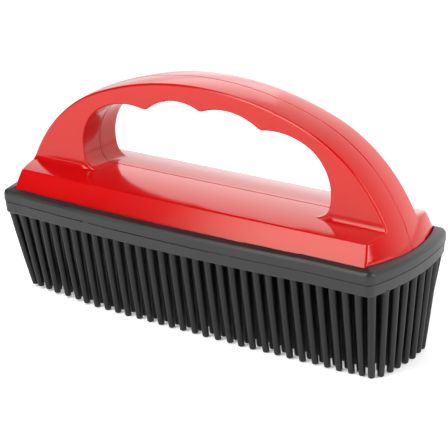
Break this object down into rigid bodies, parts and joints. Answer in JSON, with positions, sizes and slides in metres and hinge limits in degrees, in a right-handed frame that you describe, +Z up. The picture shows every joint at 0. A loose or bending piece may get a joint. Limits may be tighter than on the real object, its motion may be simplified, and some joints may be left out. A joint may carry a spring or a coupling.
{
  "type": "rubber bristle hand brush",
  "caption": "Hand brush with an arched hollow handle with finger grooves, a long base with bowed ends, and a rubber pad of long tapered bristles.",
  "frame": {"origin": "on the surface that the bristle tips stand on, under the middle of the brush", "axes": "+X along the brush, +Y across it, +Z up through the handle"},
  "size_m": [0.1702, 0.052, 0.0911],
  "materials": {
    "red_plastic": "polished moulded plastic",
    "plate_plastic": "plain moulded plastic",
    "screw_steel": "zinc plated",
    "rubber": "satin moulded rubber"
  },
  "bodies": {
    "root": {"body_front_shell": "red_plastic", "body_rear_shell": "red_plastic", "base_plate": "plate_plastic", "plate_screws": "screw_steel", "rubber_pad": "rubber", "bristle_row_1": "rubber", "bristle_row_2": "rubber", "bristle_row_3": "rubber", "bristle_row_4": "rubber", "bristle_row_5": "rubber", "bristle_row_6": "rubber", "bristle_row_7": "rubber", "bristle_row_8": "rubber", "bristle_row_9": "rubber"}
  },
  "joints": []
}
